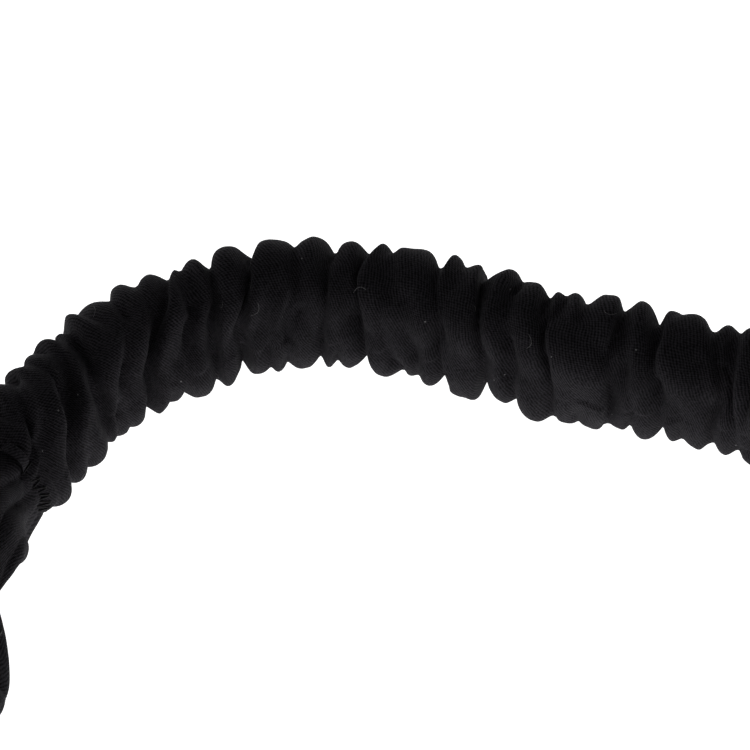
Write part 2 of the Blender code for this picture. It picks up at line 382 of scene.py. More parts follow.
def gathers(start, end, seed):
    """Small extra folds that fade out, most of them near the upper and lower edges."""
    chance = np.random.default_rng(seed)
    folds = []
    for along in np.arange(start, end, 2.6 * MM):
        facing = chance.choice([70, 100, 140, 260, 320, 20]) + chance.normal(0, 12)
        middle = along / MM + chance.uniform(-1, 1)
        slant = chance.normal(0, 1.5)
        half = chance.uniform(0.9, 1.6)
        folds.append(Fold(middle - slant, middle + slant, half, half, chance.uniform(1.2, 2.6),
                          chance.uniform(-0.4, 0.4), 0, math.radians(chance.uniform(28, 55)),
                          math.radians(facing)))
    return folds


def fold_field(along, facing, folds, seed):
    """Height of the fabric above its valleys and its shift along the band, from all folds together."""
    chance = np.random.default_rng(seed)
    total = np.zeros((len(along), len(facing)))
    leaning = np.zeros_like(total)
    turn = np.sin(facing - FACE)[None]
    side = np.cos(facing - FACE)[None]
    for fold in folds:
        wobble = chance.uniform(0, 2 * np.pi, 4)
        middle = (fold.low + fold.high) / 2
        slant = (fold.high - fold.low) / 2
        centre = middle + slant * turn + fold.bow * side
        centre = centre + 0.55 * MM * np.sin(2 * facing + wobble[0])
        centre = centre + 0.3 * MM * np.sin(5 * facing + wobble[1])
        half = (fold.half_low + fold.half_high) / 2 + (fold.half_high - fold.half_low) / 2 * turn
        half = half * (1 + 0.12 * np.sin(3 * facing + wobble[2]))
        height = fold.height * (1 + 0.14 * np.sin(2 * facing + wobble[3]))[None]
        if fold.reach is None:
            height = height * (0.45 + 0.55 * np.abs(side))
        else:
            apart = np.angle(np.exp(1j * (facing - fold.facing)))
            height = height * smooth_step(1.6 * (1 - np.abs(apart) / fold.reach))[None]
        widest = half.max() + np.abs(centre - middle).max()
        first, last = np.searchsorted(along, [middle - widest, middle + widest])
        if first == last:
            continue
        across = (along[first:last, None] - centre) / half
        bump = height * np.sqrt(np.clip(1 - across ** 2, 0, 1))
        power = (bump / MM) ** 6
        total[first:last] += power
        leaning[first:last] += power * fold.lean
    height = total ** (1 / 6) * MM
    lean = np.divide(leaning, total, out=np.zeros_like(total), where=total > 1e-12)
    return height, lean * height


def smoothed(rows, width):
    """Rows averaged along the band over a bell of the given half width, counted in rows."""
    bell = np.exp(-np.linspace(-2, 2, 4 * width + 1) ** 2)
    bell /= bell.sum()
    padded = np.pad(rows, ((2 * width, 2 * width), (0, 0)), mode="edge")
    return np.stack([np.convolve(padded[:, column], bell, "valid") for column in range(rows.shape[1])], 1)


def grid_mesh(name, rows, uv=None):
    """A closed mesh from rows of rings of points, with a pole at each end."""
    count, around = rows.shape[:2]
    points = np.concatenate([rows.reshape(-1, 3), [rows[0].mean(0), rows[-1].mean(0)]])
    ring = np.arange(around)
    beside = (ring + 1) % around
    row = np.arange(count - 1)[:, None] * around
    quads = np.stack([row + ring, row + beside, row + around + beside, row + around + ring], -1)
    quads = quads.reshape(-1, 4)
    first_pole, last_pole = count * around, count * around + 1
    last = (count - 1) * around
    caps = [(first_pole, int(b), int(a)) for a, b in zip(ring, beside)]
    caps += [(last_pole, int(last + a), int(last + b)) for a, b in zip(ring, beside)]
    mesh = bpy.data.meshes.new(name)
    mesh.from_pydata(points, [], [tuple(quad) for quad in quads.tolist()] + caps)
    if uv is not None:
        layer = mesh.uv_layers.new(name="weave")
        across = np.concatenate([uv, uv[:, :1] + [[0, uv[0, -1, 1] * around / (around - 1)]]], 1)
        corner = np.empty((len(quads), 4, 2))
        row_index = np.repeat(np.arange(count - 1), around)
        ring_index = np.tile(ring, count - 1)
        corner[:, 0] = across[row_index, ring_index]
        corner[:, 1] = across[row_index, ring_index + 1]
        corner[:, 2] = across[row_index + 1, ring_index + 1]
        corner[:, 3] = across[row_index + 1, ring_index]
        flat = np.zeros((len(mesh.loops), 2))
        flat[: corner.size // 2] = corner.reshape(-1, 2)
        layer.data.foreach_set("uv", flat.ravel())
    mesh.validate()
    mesh.update()
    return finished(name, mesh)


def finished(name, mesh):
    """An object for a finished mesh, its faces turned outwards and shaded smooth."""
    builder = bmesh.new()
    builder.from_mesh(mesh)
    bmesh.ops.recalc_face_normals(builder, faces=builder.faces)
    builder.to_mesh(mesh)
    builder.free()
    mesh.shade_smooth()
    thing = bpy.data.objects.new(name, mesh)
    bpy.context.scene.collection.objects.link(thing)
    return thing


def surface_distance(rows):
    """Distance over the folds along each column, evened out so that neighbouring columns agree."""
    step = np.linalg.norm(np.diff(rows, axis=0), axis=2)
    along = np.concatenate([np.zeros((1, rows.shape[1])), np.cumsum(step, 0)])
    mean = along.mean(1, keepdims=True)
    window = 41
    kernel = np.ones(window) / window
    drift = along - mean
    padded = np.pad(drift, ((window // 2, window // 2), (0, 0)), mode="edge")
    slow = np.stack([np.convolve(padded[:, column], kernel, "valid") for column in range(drift.shape[1])], 1)
    return mean + drift - slow


# ---------------------------------------------------------------- materials

def shader_nodes(name):
    material = bpy.data.materials.new(name)
    material.use_nodes = True
    nodes = material.node_tree.nodes
    return material, nodes, material.node_tree.links, nodes["Principled BSDF"]


def by_identifier(sockets, identifier):
    """The socket with an identifier, whatever its label is."""
    return next(socket for socket in sockets if socket.identifier == identifier)


def maths(nodes, links, operation, first, second=None, third=None):
    node = nodes.new("ShaderNodeMath")
    node.operation = operation
    for socket, value in zip(node.inputs, (first, second, third)):
        if value is None:
            continue
        if isinstance(value, bpy.types.NodeSocket):
            links.new(value, socket)
        else:
            socket.default_value = value
    return node.outputs[0]


def add_bump(nodes, links, shader, height, strength, distance):
    bump = nodes.new("ShaderNodeBump")
    bump.inputs["Strength"].default_value = strength
    bump.inputs["Distance"].default_value = distance
    links.new(height, bump.inputs["Height"])
    links.new(bump.outputs[0], shader.inputs["Normal"])


def scaled_vector(nodes, links, colour, level):
    """A colour or a point, scaled by the level."""
    scaled = nodes.new("ShaderNodeVectorMath")
    scaled.operation = "SCALE"
    scaled.inputs[0].default_value = colour
    links.new(level, scaled.inputs["Scale"])
    return scaled.outputs[0]


def twill_material(name, colour, lint, wale):
    """Matte cotton twill: diagonal wales, uneven yarn, a soft nap and specks of lint; the colour is painted
    lighter on the wale and yarn ridges and darker in their grooves, as painted shade.
    """
    material, nodes, links, shader = shader_nodes(name)
    weave = nodes.new("ShaderNodeUVMap")
    weave.uv_map = "weave"
    split = nodes.new("ShaderNodeSeparateXYZ")
    links.new(weave.outputs[0], split.inputs[0])
    u, v = split.outputs[0], split.outputs[1]
    place_now = nodes.new("ShaderNodeTexCoord").outputs["Object"]

    def scaled_noise(scale, detail=2.0):
        node = nodes.new("ShaderNodeTexNoise")
        links.new(place_now, node.inputs["Vector"])
        node.inputs["Scale"].default_value = scale
        node.inputs["Detail"].default_value = detail
        return node.outputs["Fac"]

    waver = maths(nodes, links, "MULTIPLY", scaled_noise(420.0, 3.0), 1.1 * wale)
    steep = math.radians(60)
    diagonal = maths(nodes, links, "MULTIPLY", u, math.sin(steep))
    upward = maths(nodes, links, "MULTIPLY", v, math.cos(steep))
    diagonal = maths(nodes, links, "ADD", maths(nodes, links, "ADD", diagonal, upward), waver)
    wave = maths(nodes, links, "SINE", maths(nodes, links, "MULTIPLY", diagonal, 2 * math.pi / wale))
    yarn = maths(nodes, links, "SINE", maths(nodes, links, "MULTIPLY", v, 2 * math.pi / (wale * 0.55)))
    relief = maths(nodes, links, "ADD", maths(nodes, links, "MULTIPLY", wave, 0.5),
                   maths(nodes, links, "MULTIPLY", yarn, 0.34))
    fuzz = maths(nodes, links, "MULTIPLY_ADD", scaled_noise(2300.0), 2.2, -1.1)
    relief = maths(nodes, links, "ADD", relief, fuzz)

    # Painted shade: the weave's relief makes the colour lighter on the wale and yarn ridges and darker in
    # their grooves; the fine nap noise mixed in is the cloth's own uneven tone.
    painted_wale_shade_and_nap_tone = nodes.new("ShaderNodeMapRange")
    links.new(relief, painted_wale_shade_and_nap_tone.inputs["Value"])
    painted_wale_shade_and_nap_tone.inputs["From Min"].default_value = -0.75
    painted_wale_shade_and_nap_tone.inputs["From Max"].default_value = 0.85
    painted_wale_shade_and_nap_tone.inputs["To Min"].default_value = 0.22
    painted_wale_shade_and_nap_tone.inputs["To Max"].default_value = 2.1
    blotch = maths(nodes, links, "MULTIPLY_ADD", scaled_noise(55.0, 3.0), 0.7, 0.65)
    # Painted wale shade times the cloth's own blotchy tone.
    level = maths(nodes, links, "MULTIPLY", painted_wale_shade_and_nap_tone.outputs[0], blotch)
    cloth = scaled_vector(nodes, links, colour, level)

    specks = nodes.new("ShaderNodeTexVoronoi")
    links.new(place_now, specks.inputs["Vector"])
    specks.inputs["Scale"].default_value = 360.0
    speck = maths(nodes, links, "LESS_THAN", specks.outputs["Distance"], 0.06)
    few = nodes.new("ShaderNodeSeparateColor")
    links.new(specks.outputs["Color"], few.inputs[0])
    speck = maths(nodes, links, "MULTIPLY", speck, maths(nodes, links, "GREATER_THAN", few.outputs[0], 0.8))
    mixed = nodes.new("ShaderNodeMix")
    mixed.data_type = "RGBA"
    links.new(speck, by_identifier(mixed.inputs, "Factor_Float"))
    links.new(cloth, by_identifier(mixed.inputs, "A_Color"))
    by_identifier(mixed.inputs, "B_Color").default_value = (*lint, 1.0)
    links.new(by_identifier(mixed.outputs, "Result_Color"), shader.inputs["Base Color"])

    add_bump(nodes, links, shader, relief, 0.55, 0.12 * MM)
    shader.inputs["Roughness"].default_value = 0.92
    shader.inputs["Specular IOR Level"].default_value = 0.06
    shader.inputs["Sheen Weight"].default_value = 0.05
    shader.inputs["Sheen Roughness"].default_value = 0.3
    shader.inputs["Sheen Tint"].default_value = (0.95, 0.93, 1.0, 1.0)
    return material


def thread_material(name, colour):
    """Twisted sewing thread with a slight shine; its colour is painted lighter on the plies and darker in
    the grooves between them, as painted shade.
    """
    material, nodes, links, shader = shader_nodes(name)
    place_now = nodes.new("ShaderNodeTexCoord").outputs["Object"]
    ply = nodes.new("ShaderNodeTexWave")
    ply.inputs["Scale"].default_value = 900.0
    ply.inputs["Distortion"].default_value = 2.0
    links.new(place_now, ply.inputs["Vector"])
    add_bump(nodes, links, shader, ply.outputs["Fac"], 0.4, 0.08 * MM)
    # Painted shade: the colour follows the ply bump, lighter on the ridges and darker in the grooves.
    level = maths(nodes, links, "MULTIPLY_ADD", ply.outputs["Fac"], 0.8, 0.6)
    links.new(scaled_vector(nodes, links, colour, level), shader.inputs["Base Color"])
    shader.inputs["Roughness"].default_value = 0.6
    shader.inputs["Specular IOR Level"].default_value = 0.15
    return material


def elastic_material(name):
    """Woven elastic: fine ribs along its length, their colour painted lighter on the ribs and darker in the
    grooves, as painted shade.
    """
    material, nodes, links, shader = shader_nodes(name)
    place_now = nodes.new("ShaderNodeTexCoord").outputs["Object"]
    split = nodes.new("ShaderNodeSeparateXYZ")
    links.new(place_now, split.inputs[0])
    phase = maths(nodes, links, "MULTIPLY", split.outputs[2], 2 * math.pi / (1.1 * MM))
    rib = maths(nodes, links, "SINE", phase)
    # Painted shade: the colour follows the rib bump, lighter on the ribs and darker in the grooves.
    level = maths(nodes, links, "MULTIPLY_ADD", rib, 0.3, 0.9)
    links.new(scaled_vector(nodes, links, (0.014, 0.014, 0.015), level), shader.inputs["Base Color"])
    add_bump(nodes, links, shader, rib, 0.5, 0.2 * MM)
    shader.inputs["Roughness"].default_value = 0.7
    return material


def shared_material(key):
    """The fabric and thread materials, made once."""
    cloth = bpy.context.scene.headband_cloth
    if key in bpy.data.materials:
        return bpy.data.materials[key]
    if key == "cotton_twill":
        return twill_material(key, tuple(cloth.black), tuple(cloth.lint), cloth.wale)
    if key == "sewing_thread":
        return thread_material(key, tuple(cloth.thread))
    return elastic_material(key)


# ---------------------------------------------------------------- stage

CAMERA_TURN, CAMERA_RISE, CAMERA_ROLL = math.radians(94.04), math.radians(57.23), math.radians(-2.376)
CAMERA_DISTANCE = 507.66 * MM
CAMERA_TARGET = Vector((-55.51 * MM, BACK_HIGH[1] - 124.95 * MM, 15.0 * MM))
LIGHT_TARGET = Vector((-0.05, -0.02, 0.015))


class HEADBAND_OT_stage(bpy.types.Operator):
    """White floor, soft studio light and the camera"""

    bl_idname = "headband.stage"
    bl_label = "Stage"

    def execute(self, context):
        settings = context.scene.headband_stage
        self.add_floor(settings)
        self.add_lights(settings)
        self.add_camera(context, settings)
        context.scene.view_settings.view_transform = "Standard"
        return {"FINISHED"}

    def add_floor(self, settings):
        bpy.ops.mesh.primitive_plane_add(size=8.0, location=(0, 0, 0))
        floor = bpy.context.object
        floor.name = "floor"
        material, *_, shader = shader_nodes("white_sweep")
        shader.inputs["Base Color"].default_value = (*settings.floor, 1.0)
        shader.inputs["Roughness"].default_value = 0.9
        shader.inputs["Specular IOR Level"].default_value = 0.0
        shader.inputs["Emission Color"].default_value = (1.0, 1.0, 1.0, 1.0)
        shader.inputs["Emission Strength"].default_value = 1.3
        floor.data.materials.append(material)

    def add_lights(self, settings):
        lights = (
            ("key", (0.75, -0.35, 0.75), 0.7, settings.key),
            ("fill", (0.3, 0.9, 0.7), 0.9, settings.key * 0.8),
            ("rim", (-0.9, -0.1, 0.45), 0.6, settings.key * 1.6),
            ("front", (-0.25, -1.0, 0.35), 0.6, settings.key * 1.6),
        )
        for name, spot, size, power in lights:
            lamp = bpy.data.lights.new(name, "AREA")
            lamp.shape = "DISK"
            lamp.size = size
            lamp.energy = power
            thing = bpy.data.objects.new(name, lamp)
            thing.location = spot
            direction = LIGHT_TARGET - Vector(spot)
            thing.rotation_euler = direction.to_track_quat("-Z", "Y").to_euler()
            bpy.context.scene.collection.objects.link(thing)
        world = bpy.context.scene.world or bpy.data.worlds.new("studio")
        bpy.context.scene.world = world
        world.use_nodes = True
        background = world.node_tree.nodes["Background"]
        background.inputs["Color"].default_value = (1.0, 1.0, 1.0, 1.0)
        background.inputs["Strength"].default_value = 0.09

    def add_camera(self, context, settings):
        turn, rise, roll = CAMERA_TURN, CAMERA_RISE, CAMERA_ROLL
        back = Vector((math.sin(turn) * math.cos(rise), -math.cos(turn) * math.cos(rise), math.sin(rise)))
        right = (-back).cross(Vector((0, 0, 1))).normalized()
        upward = right.cross(-back)
        rolled_right = right * math.cos(roll) + upward * math.sin(roll)
        rolled_up = upward * math.cos(roll) - right * math.sin(roll)
        camera = bpy.data.cameras.new("camera")
        camera.lens = settings.lens
        camera.sensor_width = 36.0
        camera.clip_start = 0.01
        thing = bpy.data.objects.new("camera", camera)
        context.scene.collection.objects.link(thing)
        axes = Matrix((rolled_right, rolled_up, back)).transposed().to_4x4()
        thing.matrix_world = Matrix.Translation(CAMERA_TARGET + back * CAMERA_DISTANCE) @ axes
        context.scene.camera = thing


# ---------------------------------------------------------------- casing

def rounded_section(width, height, power, count):
    """Depth, height and outward direction of evenly spaced points round a rounded rectangle."""
    angle = np.linspace(0, 2 * np.pi, 2001)
    cos, sin = np.cos(angle), np.sin(angle)
    across = np.sign(cos) * np.abs(cos) ** (2 / power) * width / 2
    upright = np.sign(sin) * np.abs(sin) ** (2 / power) * height / 2
    distance = np.r_[0, np.cumsum(np.hypot(np.diff(across), np.diff(upright)))]
    even = np.linspace(0, distance[-1], count, endpoint=False)
    facing = np.interp(even, distance, angle)
    across = np.interp(even, distance, across)
    upright = np.interp(even, distance, upright)
    ahead = np.stack([np.roll(across, -1) - np.roll(across, 1), np.roll(upright, -1) - np.roll(upright, 1)])
    ahead /= np.linalg.norm(ahead, axis=0)
    return across, upright, ahead[1], -ahead[0], facing, distance[-1]


def casing_rows(settings):
    """Rows of points of the ruched fabric, from the left mouth round the back to the right mouth."""
    end = LENGTH - JOIN
    near = np.arange(JOIN, FLANK_END, FINE_STEP)
    far = np.linspace(FLANK_END, end, CASING_ROWS - len(near))
    along = np.r_[near, far]
    across, upright, out_across, out_upright, facing, girth = rounded_section(
        BAND_THICKNESS - 2 * settings.valley, BAND_HEIGHT - 2 * settings.edge_valley, 2.6, settings.around)
    folds = [Fold(*row) for row in LEFT_FOLDS]
    folds += scattered_folds(FLANK_END + 1 * MM, end - 2 * MM, settings.spacing, SEED)
    upper = dips_at_creases([crease[1] for crease in DEEP_CREASES], JOIN / MM, FLANK_END / MM, SEED + 11)
    lower = dips_at_creases([crease[0] for crease in DEEP_CREASES], JOIN / MM, FLANK_END / MM, SEED + 12)
    folds += edge_lobes(upper, 132, 2.9) + edge_lobes(lower, -48, 2.9)
    folds += edge_lobes(scattered_dips(FLANK_END / MM, end / MM, SEED + 7), 105, 2.8)
    folds += edge_lobes(scattered_dips(FLANK_END / MM, end / MM, SEED + 8), -75, 2.8)
    folds += gathers(JOIN, end, SEED + 1)
    height, shift = fold_field(along, facing, folds, SEED + 2)
    girth_share = np.linspace(0, 1, settings.around, endpoint=False)[None]
    steps = along[:, None]
    crease = noise(steps / (2.6 * MM) + 3 * girth_share, girth_share * 7, SEED + 3, 7)
    crease = crease + 0.5 * noise(steps / (1.2 * MM), girth_share * 12, SEED + 4, 12)
    swell = noise(steps / (14 * MM), girth_share * 3, SEED + 5, 3)
    slack = 0.5 + 0.5 * noise(steps / (7 * MM) + 2 * girth_share, girth_share * 4, SEED + 6, 4)
    flatness = np.cos(facing)[None] ** 2 * 0.75 * slack ** 2
    height = height + (smoothed(height, 9) + 0.5 * MM - height) * flatness
    creases = list(DEEP_CREASES) + scattered_creases(FLANK_END / MM + 4, end / MM, SEED + 9)
    height, shift = carve(height, smoothed(shift, 2), along, facing, creases, SEED + 10)
    height = height + settings.crease * crease + 0.5 * MM * swell
    mouth = np.minimum(along - JOIN, end - along)
    pinch = 0.80 + 0.20 * np.sqrt(smooth_step(mouth / (8 * MM)))
    height = height * (0.45 + 0.55 * smooth_step(mouth / (5 * MM)))[:, None]
    depth = across * pinch[:, None] + out_across * height
    level = upright * pinch[:, None] + out_upright * height
    moved = steps + shift * smooth_step(mouth / (6 * MM))[:, None]
    level = level + casing_middle(along)[:, None]
    level = np.maximum(level, 0.12 * MM + 0.12 * level)
    rows = place(moved, depth, level)
    lips = []  # LIP_ROWS rows on either end
    for edge, inwards in ((0, 1), (-1, -1)):
        ring_depth, ring_level = depth[edge], level[edge]
        middle = casing_middle(along[edge])
        lip = []
        for run, share in ((-0.5, 0.965), (-0.8, 0.90), (-0.7, 0.83), (0.2, 0.77), (1.8, 0.73), (4.5, 0.70)):
            level_here = middle + (ring_level - middle) * share
            lip.append(place(moved[edge] + inwards * run * MM, ring_depth * share, level_here))
        lips.append(np.stack(lip))
    return np.concatenate([lips[0][::-1], rows, lips[1]]), girth


class HEADBAND_OT_casing(bpy.types.Operator):
    """Ruched twill casing from the left mouth round the back to the right mouth"""

    bl_idname = "headband.casing"
    bl_label = "Ruched casing"

    def execute(self, context):
        settings = context.scene.headband_casing
        rows, girth = casing_rows(settings)
        over = surface_distance(rows)
        around = np.broadcast_to(np.linspace(0, girth, settings.around, endpoint=False), over.shape)
        casing = grid_mesh("ruched_casing", rows, np.stack([over, around], -1))
        casing.data.materials.append(shared_material("cotton_twill"))
        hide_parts("casing_left", "casing_right", "casing_back")
        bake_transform(casing)
        return {"FINISHED"}


# ---------------------------------------------------------------- elastic

class HEADBAND_OT_elastic(bpy.types.Operator):
    """Flat woven elastic inside the casing"""

    bl_idname = "headband.elastic"
    bl_label = "Elastic"

    def execute(self, context):
        start = JOIN + ELASTIC_SET_BACK
        along = np.linspace(start, LENGTH - start, 240)[:, None]
        across, upright, *_ = rounded_section(ELASTIC_THICKNESS, ELASTIC_WIDTH, 5, 20)
        rows = place(along, across[None], casing_middle(along) + upright[None])
        elastic = grid_mesh("elastic_strip", rows)
        elastic.data.materials.append(shared_material("woven_elastic"))
        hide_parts("elastic_left", "elastic_right", "elastic_back")
        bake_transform(elastic)
        return {"FINISHED"}


# ---------------------------------------------------------------- knot

LOOP_RADIUS = 17.8 * MM
BUNDLE = 13.1 * MM
STRAND_WIDTH = 28.0 * MM
STRAND_THICKNESS = 6.6 * MM
REACH = BUNDLE / 2 + 0.45 * MM  # from the middle of the knot to the middle of a bundle
LOOP_GIRTH = 44 * MM  # cloth round a loop, as its weave counts it
LOOP_ROWS = 260
LOOP_POINTS = 96
SQUEEZE_DEPTH = 0.72
SQUEEZE_HEIGHT = 0.92


def loop_path(hand, count):
    """Centres, width directions, widths and thicknesses along one loop, in band coordinates."""
    lean = math.sqrt(0.5)
    plane = np.array([0, -lean * SQUEEZE_DEPTH, hand * lean * SQUEEZE_HEIGHT])
    spread = np.array([0, -lean * SQUEEZE_DEPTH, -hand * lean * SQUEEZE_HEIGHT])
    middle = np.array([hand * (LOOP_RADIUS - REACH), -KNOT_FORWARD, KNOT_HEIGHT])
    run_out = JOIN + 3 * MM - abs(middle[0])
    bend_length = math.pi * LOOP_RADIUS * 0.83
    whole = 2 * run_out + bend_length
    centres, across, widths, thicknesses = [], [], [], []
    for share in np.linspace(0, 1, count):
        travelled = share * whole
        if run_out <= travelled <= run_out + bend_length:
            angle = math.pi / 2 - math.pi * (travelled - run_out) / bend_length
            outer_run = 0.0
        else:
            angle = math.pi / 2 if travelled < run_out else -math.pi / 2
            outer_run = run_out - travelled if travelled < run_out else travelled - run_out - bend_length
        opened = math.sin(angle) ** 2
        centre = middle + plane * LOOP_RADIUS * math.sin(angle)
        centre[0] -= hand * LOOP_RADIUS * math.cos(angle)
        width = BUNDLE * (1 + 0.45 * opened ** 3)
        thickness = BUNDLE * (1 - 0.15 * opened)
        direction = spread.copy()
        if outer_run > 0:
            settled = float(smooth_step(outer_run / (JOIN - abs(middle[0]))))
            side = -1 if angle > 0 else 1
            sewn = np.array([0, side * 3.45 * MM, casing_middle(JOIN)])
            centre = centre * (1 - settled) + sewn * settled
            centre[0] = hand * (abs(middle[0]) + outer_run)
            upright = np.array([0, 0, 1.0 if direction[2] > 0 else -1.0])
            direction = direction * (1 - settled) + upright * settled
            width = width + (STRAND_WIDTH * 0.86 - width) * settled
            thickness = thickness + (STRAND_THICKNESS - thickness) * settled
        centres.append(centre)
        across.append(direction)
        widths.append(width)
        thicknesses.append(thickness)
    return np.array(centres), np.array(across), np.array(widths), np.array(thicknesses)


def loop_rows(hand, count, around, seed):
    """Rows of points of a gathered loop, its pleats running along the strip."""
    centres, across, widths, thicknesses = loop_path(hand, count)
    kernel = np.hanning(15)
    kernel /= kernel.sum()
    for axis in range(3):
        ends = np.pad(centres[:, axis], 7, mode="reflect", reflect_type="odd")
        centres[:, axis] = np.convolve(ends, kernel, "valid")
    forward = np.gradient(centres, axis=0)
    forward /= np.linalg.norm(forward, axis=1)[:, None]
    scale = np.linalg.norm(across, axis=1)
    wide = across - forward * (across * forward).sum(1)[:, None]
    wide /= np.linalg.norm(wide, axis=1)[:, None]
    through = np.cross(forward, wide)
    thick, broad, out_thick, out_broad, facing, girth = rounded_section(1, 2, 2.3, around)
    distance = np.r_[0, np.cumsum(np.linalg.norm(np.diff(centres, axis=0), axis=1))]
    chance = np.random.default_rng(seed)
    total = np.zeros((count, around))
    share = np.linspace(0, 1, around, endpoint=False)[None]
    pleats = 11
    for pleat in range(pleats):
        wander = chance.uniform(0, 2 * np.pi, 2)
        middle = (pleat + chance.uniform(-0.2, 0.2)) / pleats
        middle = middle + 0.018 * np.sin(distance / (9 * MM) + wander[0])[:, None]
        half = 0.62 / pleats * chance.uniform(0.85, 1.25)
        half = half * (1 + 0.2 * np.sin(distance / (6 * MM) + wander[1]))[:, None]
        apart = (share - middle + 0.5) % 1 - 0.5
        height = chance.uniform(1.2, 2.0)
        height = height * (1 + 0.25 * np.sin(distance / (13 * MM) + 2 * wander[1]))[:, None]
        total += (height * np.sqrt(np.clip(1 - (apart / half) ** 2, 0, 1))) ** 6
    height = total ** (1 / 6) * MM
    ripple = noise(distance[:, None] / (3.4 * MM), share * 9, seed + 1, 9)
    height = height + 0.3 * MM * ripple
    base = 1.25 * MM
    half_wide = (widths * scale / 2 - base)[:, None]
    half_thick = (thicknesses / 2 - base)[:, None]
    offset_wide = half_wide * broad[None] + out_broad[None] * height
    offset_thick = 2 * half_thick * thick[None] + out_thick[None] * height
    rows = centres[:, None] + wide[:, None] * offset_wide[..., None]
    rows = rows + through[:, None] * offset_thick[..., None]
    world = place(-rows[..., 0], rows[..., 1], np.maximum(rows[..., 2], 0.15 * MM))
    return world, distance


class HEADBAND_OT_knot(bpy.types.Operator):
    """Two gathered loops of twill, hooked through each other"""

    bl_idname = "headband.knot"
    bl_label = "Knot loops"

    def execute(self, context):
        for side, hand in (("left", -1), ("right", 1)):
            rows, distance = loop_rows(hand, LOOP_ROWS, LOOP_POINTS, SEED + 20 + hand)
            over = surface_distance(rows)
            around = np.broadcast_to(np.linspace(0, LOOP_GIRTH, LOOP_POINTS, endpoint=False), over.shape)
            loop = grid_mesh("knot_loop_" + side + "_cloth", rows, np.stack([around, over], -1))
            loop.data.materials.append(shared_material("cotton_twill"))
            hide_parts("knot_loop_" + side)
            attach(loop, "front")
        return {"FINISHED"}


# ---------------------------------------------------------------- node trees for what repeats

def new_tree(name, inputs):
    """A geometry node tree with a geometry input, the named inputs and a geometry output."""
    tree = bpy.data.node_groups.new(name, "GeometryNodeTree")
    tree.interface.new_socket("Geometry", in_out="INPUT", socket_type="NodeSocketGeometry")
    for label, kind in inputs:
        tree.interface.new_socket(label, in_out="INPUT", socket_type=kind)
    tree.interface.new_socket("Geometry", in_out="OUTPUT", socket_type="NodeSocketGeometry")
    return tree, tree.nodes.new("NodeGroupInput").outputs, tree.nodes.new("NodeGroupOutput").inputs


def finish_tree(tree, outputs, result, geometry):
    """Make instances real and give them the material, as the tree's result."""
    real = tree.nodes.new("GeometryNodeRealizeInstances")
    coloured = tree.nodes.new("GeometryNodeSetMaterial")
    tree.links.new(geometry, real.inputs["Geometry"])
    tree.links.new(real.outputs[0], coloured.inputs["Geometry"])
    tree.links.new(outputs["Material"], coloured.inputs["Material"])
    tree.links.new(coloured.outputs[0], result["Geometry"])


def round_profile(tree, radius, resolution):
    circle = tree.nodes.new("GeometryNodeCurvePrimitiveCircle")
    circle.inputs["Resolution"].default_value = resolution
    tree.links.new(radius, circle.inputs["Radius"])
    return circle.outputs["Curve"]


def thread_tree():
    """Thread of a given radius along every line of the guide."""
    inputs = (("Radius", "NodeSocketFloat"), ("Material", "NodeSocketMaterial"))
    tree, outputs, result = new_tree("threads", inputs)
    line = tree.nodes.new("GeometryNodeMeshToCurve")
    rounded = tree.nodes.new("GeometryNodeCurveSplineType")
    rounded.spline_type = "CATMULL_ROM"
    tube = tree.nodes.new("GeometryNodeCurveToMesh")
    tube.inputs["Fill Caps"].default_value = True
    tree.links.new(outputs["Geometry"], line.inputs["Mesh"])
    tree.links.new(line.outputs[0], rounded.inputs["Curve"])
    tree.links.new(rounded.outputs[0], tube.inputs["Curve"])
    tree.links.new(round_profile(tree, outputs["Radius"], 8), tube.inputs["Profile Curve"])
    finish_tree(tree, outputs, result, tube.outputs[0])
    return tree


